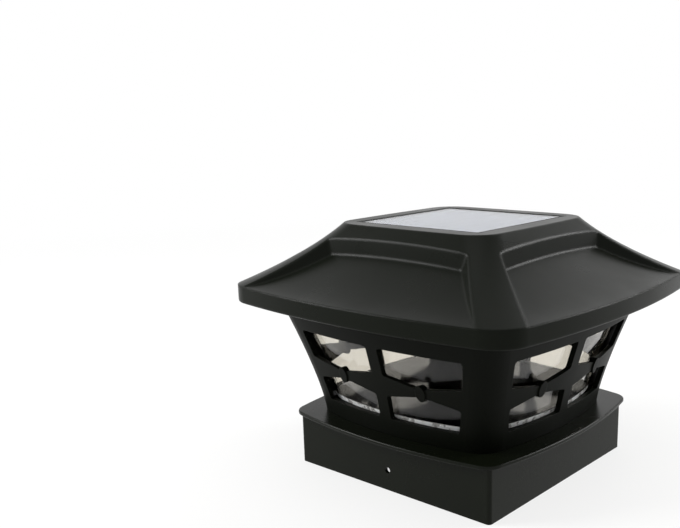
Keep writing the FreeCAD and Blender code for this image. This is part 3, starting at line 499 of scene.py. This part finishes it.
def silver_lines():
    """The printed silver lines on each solar cell: fine fingers across it and two wider busbars along it."""
    low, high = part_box("solar_cells")
    cells, gap, bare_side, bare_end = 4, 1.0 * MM, 0.5 * MM, 1.0 * MM
    finger_pitch, finger_width, finger_thickness = 2.4 * MM, 0.14 * MM, 0.05 * MM
    busbar_width, busbar_thickness = 1.2 * MM, 0.08 * MM
    width = (high.x - low.x + gap) / cells - gap
    length = high.y - low.y
    fingers = int(length / finger_pitch) - 1
    middle = (low.y + high.y) / 2
    level = high.z + finger_thickness / 2
    rows = []
    for i in range(cells):
        x = low.x + width / 2 + i * (width + gap)
        rows.append({"Count": fingers, "Start": (x, middle - (fingers - 1) * finger_pitch / 2, level),
                     "Step": (0, finger_pitch, 0),
                     "Size": (width - 2 * bare_side, finger_width, finger_thickness)})
        rows.append({"Count": 2, "Start": (x - width / 4, middle, level), "Step": (width / 2, 0, 0),
                     "Size": (busbar_width, length - 2 * bare_end, busbar_thickness)})
    piece = repeated("cell_silver_lines", line_of_bars, silver_paste, rows)
    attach(piece, "roof_module")


def sealant_bead():
    """The black sealant round the solar panel: a flat-topped bead that fills its gap and laps its glass."""
    glass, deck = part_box("panel_cover")[1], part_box("roof_shell")[1].z
    gap, lap, corner, shoulder = 1.15 * MM, 1.1 * MM, 1.6 * MM, 0.5 * MM
    depth, crown, film = 0.6 * MM, 0.03 * MM, 0.002 * MM
    arc_steps = 8
    outer = glass.x + gap
    # Outline of the bead's section, as (distance in from the gap's outer wall, height). Its top is crowned
    # by a hair, and it lies a thin film above the glass.
    section = [(0.0, glass.z - depth), (0.0, deck - crown), (shoulder, deck),
               (gap + 0.4 * lap, deck - 0.4 * crown), (gap + lap, glass.z + 2 * film),
               (gap, glass.z + film), (gap, glass.z - depth)]
    build = bmesh.new()
    rings = []
    for quarter in range(4):
        turn = math.pi / 2 * quarter
        centre = Matrix.Rotation(turn, 2) @ Vector((outer - corner, outer - corner))
        diagonal = Vector((math.cos(turn + math.pi / 4), math.sin(turn + math.pi / 4)))
        for step in range(arc_steps + 1):
            angle = math.pi / 2 * (quarter + step / arc_steps)
            ring = []
            for inward, height in section:
                reach = corner - inward
                if reach >= 0:
                    at = centre + Vector((math.cos(angle), math.sin(angle))) * reach
                else:  # further in than the round corner's centre the outline turns sharply
                    at = centre + diagonal * reach * math.sqrt(2)
                ring.append(build.verts.new((at.x, at.y, height)))
            rings.append(ring)
    for ring, following in zip(rings, rings[1:] + rings[:1]):
        for i in range(len(section)):
            j = (i + 1) % len(section)
            build.faces.new((ring[i], following[i], following[j], ring[j]))
    bmesh.ops.remove_doubles(build, verts=build.verts, dist=0.001 * MM)
    bmesh.ops.recalc_face_normals(build, faces=build.faces)
    mesh = bpy.data.meshes.new("sealant_bead")
    build.to_mesh(mesh)
    build.free()
    mesh.materials.append(sealant)
    piece = bpy.data.objects.new("sealant_bead", mesh)
    bpy.context.scene.collection.objects.link(piece)
    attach(piece, "roof_module")


def wire_end(wire, level):
    """Where a wire, or a pair of them, meets a level surface: the middle of its vertices at that height."""
    ring = [v.co for v in nodes[wire].data.vertices if abs(v.co.z - level) < 0.02 * MM]
    return sum(ring, Vector()) / len(ring)


def solder_joints():
    """Domes of solder where the wires meet the boards, the battery's contacts and the switch."""
    board_top, lamp_board_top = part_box("circuit_board")[1].z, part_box("led_board")[1].z
    panel_board_foot, tab_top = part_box("panel_board")[0].z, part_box("positive_contact")[1].z
    ends = [wire_end(wire, board_top) for wire in nodes if "_wire_" in wire]
    ends += [wire_end(wire, panel_board_foot) for wire in ("panel_wire_positive", "panel_wire_negative")]
    ends += [wire_end(wire, lamp_board_top) for wire in ("led_wire_positive", "led_wire_negative")]
    ends += [wire_end(wire, tab_top) for wire in ("battery_wire_positive", "battery_wire_negative")]
    across, height, wire_pitch = 2.1 * MM, 1.3 * MM, 2.6 * MM
    drop = (across, across, height)
    rows = [{"Count": 1, "Start": end, "Step": (0, 0, 0), "Size": drop} for end in ends]
    for level in (board_top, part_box("switch_body")[1].z):
        middle = wire_end("switch_wires", level)
        rows.append({"Count": 2, "Start": middle - Vector((0, wire_pitch / 2, 0)), "Step": (0, wire_pitch, 0),
                     "Size": drop})
    piece = repeated("solder_joints", line_of_drops, solder, rows)
    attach(piece, "roof_module")


def chip_legs():
    """The driver chip's flat legs, four on each side, standing on the board."""
    low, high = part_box("driver_chip")
    legs_a_side, pitch, rise = 4, 1.0 * MM, 0.15 * MM
    width, reach, thickness = 0.4 * MM, 0.9 * MM, 0.28 * MM
    first = (low.x + high.x) / 2 - (legs_a_side - 1) / 2 * pitch
    rows = [{"Count": legs_a_side, "Start": (first, y, low.z + rise), "Step": (pitch, 0, 0),
             "Size": (width, reach, thickness)} for y in (low.y - reach / 2, high.y + reach / 2)]
    piece = repeated("chip_legs", line_of_bars, strip_nickel, rows)
    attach(piece, "roof_module")


def lamp_dies():
    """The yellow phosphor square in each of the four lamps, above the tips of their domes."""
    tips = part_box("led_lamps")[0].z
    lamps, ring_radius, rise = 4, 8.0 * MM, 3.6 * MM
    side, thickness = 1.1 * MM, 0.4 * MM
    rows = [{"Count": lamps, "Start": (0, 0, tips + rise), "Turn": (0, 0, math.pi / lamps),
             "Ring Radius": ring_radius, "Size": (side, side, thickness)}]
    piece = repeated("lamp_dies", ring_of_bars, phosphor, rows)
    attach(piece, "roof_module")


silver_lines()
sealant_bead()
solder_joints()
chip_legs()
lamp_dies()


# ---------------------------------------------------------------- floor, lamps and camera

def bright_rays(tree):
    """1 for the rays that see the surroundings at full white: camera, glossy and transmitted ones."""
    rays = add(tree, "ShaderNodeLightPath").outputs
    seen = rays["Is Camera Ray"]
    for kind in ("Is Transmission Ray", "Is Glossy Ray"):
        seen = add(tree, "ShaderNodeMath", {0: seen, 1: rays[kind]}, operation="MAXIMUM").outputs[0]
    return seen


def pale_floor():
    """A plain white floor that glows to white with distance, and keeps the object's soft shadow."""
    bpy.ops.mesh.primitive_circle_add(vertices=96, radius=6.0, fill_type="NGON")
    floor = bpy.context.object
    floor.name = "floor"
    material = bpy.data.materials.new("white_studio_floor")
    material.use_nodes = True
    tree = material.node_tree
    shader = tree.nodes["Principled BSDF"]
    shader.inputs["Base Color"].default_value = linear("#f2f2f0")
    shader.inputs["Roughness"].default_value = 0.9
    glow = add(tree, "ShaderNodeEmission", {"Color": (1.0, 1.0, 1.0, 1.0), "Strength": 1.0})
    place = add(tree, "ShaderNodeTexCoord").outputs["Object"]
    away = add(tree, "ShaderNodeVectorMath", {0: place}, operation="LENGTH").outputs["Value"]
    # The glow's share is 0.72 up to 0.15 m from the post's axis, where the shadow lies, and whole past 1.2 m.
    whiteness = add(tree, "ShaderNodeMapRange", {"Value": away, "From Min": 0.15, "From Max": 1.2,
                                                 "To Min": 0.72, "To Max": 1.0})
    share = add(tree, "ShaderNodeMath", {0: bright_rays(tree), 1: whiteness.outputs["Result"]},
                operation="MULTIPLY")
    mix = add(tree, "ShaderNodeMixShader", {0: share.outputs[0], 1: shader.outputs[0], 2: glow.outputs[0]})
    tree.links.new(mix.outputs[0], tree.nodes["Material Output"].inputs["Surface"])
    floor.data.materials.append(material)


def studio_world():
    """Even pale light, a little brighter overhead, that camera, glossy and transmitted rays see as white."""
    world = bpy.data.worlds.new("studio")
    bpy.context.scene.world = world
    world.use_nodes = True
    tree = world.node_tree
    background = tree.nodes["Background"]
    background.inputs["Color"].default_value = (1.0, 1.0, 1.0, 1.0)
    place = add(tree, "ShaderNodeTexCoord").outputs["Generated"]
    height = add(tree, "ShaderNodeSeparateXYZ", {"Vector": place}).outputs["Z"]
    level = add(tree, "ShaderNodeMapRange", {"Value": height, "From Min": 0.0, "From Max": 1.0,
                                             "To Min": 0.4, "To Max": 0.6})
    strength = add(tree, "ShaderNodeMix", {"Factor": bright_rays(tree), "A": level.outputs["Result"],
                                           "B": 1.0})
    tree.links.new(strength.outputs["Result"], background.inputs["Strength"])


def softbox(name, place_mm, aim_mm, size_mm, watts):
    """A square studio lamp with its middle at place_mm, facing aim_mm."""
    lamp = bpy.data.lights.new(name, "AREA")
    lamp.shape = "SQUARE"
    lamp.size = size_mm * MM
    lamp.energy = watts
    holder = bpy.data.objects.new(name, lamp)
    bpy.context.scene.collection.objects.link(holder)
    place = Vector(place_mm) * MM
    holder.location = place
    holder.rotation_euler = (Vector(aim_mm) * MM - place).to_track_quat("-Z", "Y").to_euler()


def studio_camera():
    """The photograph's view: from the near corner, a little above the eave.

    The lens's axis meets the picture away from its middle, so the lens is shifted.
    """
    azimuth, elevation, roll = math.radians(41.287), math.radians(13.133), math.radians(-1.117)
    photo_width_px, photo_height_px, focal_px = 680, 528, 878.42
    centre_x_px, centre_y_px = 398.5, 314.5
    # The point 90 mm up the post's axis lies this far right of, above and in front of the lens.
    aim = Vector((0, 0, 90)) * MM
    aim_right, aim_up, aim_ahead = 36.31 * MM, 5.59 * MM, 499.83 * MM
    back = Vector((math.sin(azimuth) * math.cos(elevation), -math.cos(azimuth) * math.cos(elevation),
                   math.sin(elevation)))
    level_right = Vector((math.cos(azimuth), math.sin(azimuth), 0))
    level_up = back.cross(level_right)
    right = math.cos(roll) * level_right + math.sin(roll) * level_up
    up = math.cos(roll) * level_up - math.sin(roll) * level_right
    place = aim - aim_right * right - aim_up * up + aim_ahead * back
    lens = bpy.data.cameras.new("photo_lens")
    lens.sensor_width = 36.0
    lens.lens = focal_px / photo_width_px * lens.sensor_width
    lens.shift_x = (photo_width_px / 2 - centre_x_px) / photo_width_px
    lens.shift_y = (centre_y_px - photo_height_px / 2) / photo_width_px
    lens.clip_start, lens.clip_end = 0.01, 50.0
    camera = bpy.data.objects.new("camera", lens)
    bpy.context.scene.collection.objects.link(camera)
    turn = Matrix((right, up, back)).transposed().to_4x4()
    camera.matrix_world = Matrix.Translation(place) @ turn
    bpy.context.scene.camera = camera


pale_floor()
studio_world()
softbox("overhead_softbox", (0, -200, 1300), (0, 0, 90), 900, 2.4)
softbox("left_softbox", (-830, -730, 620), (0, 0, 90), 560, 14.0)
softbox("right_softbox", (663, 955, 650), (0, 0, 90), 560, 12.0)
softbox("back_softbox", (-340, 1020, 890), (0, 0, 110), 900, 0.9)
studio_camera()

scene = bpy.context.scene
scene.view_settings.view_transform = "Standard"
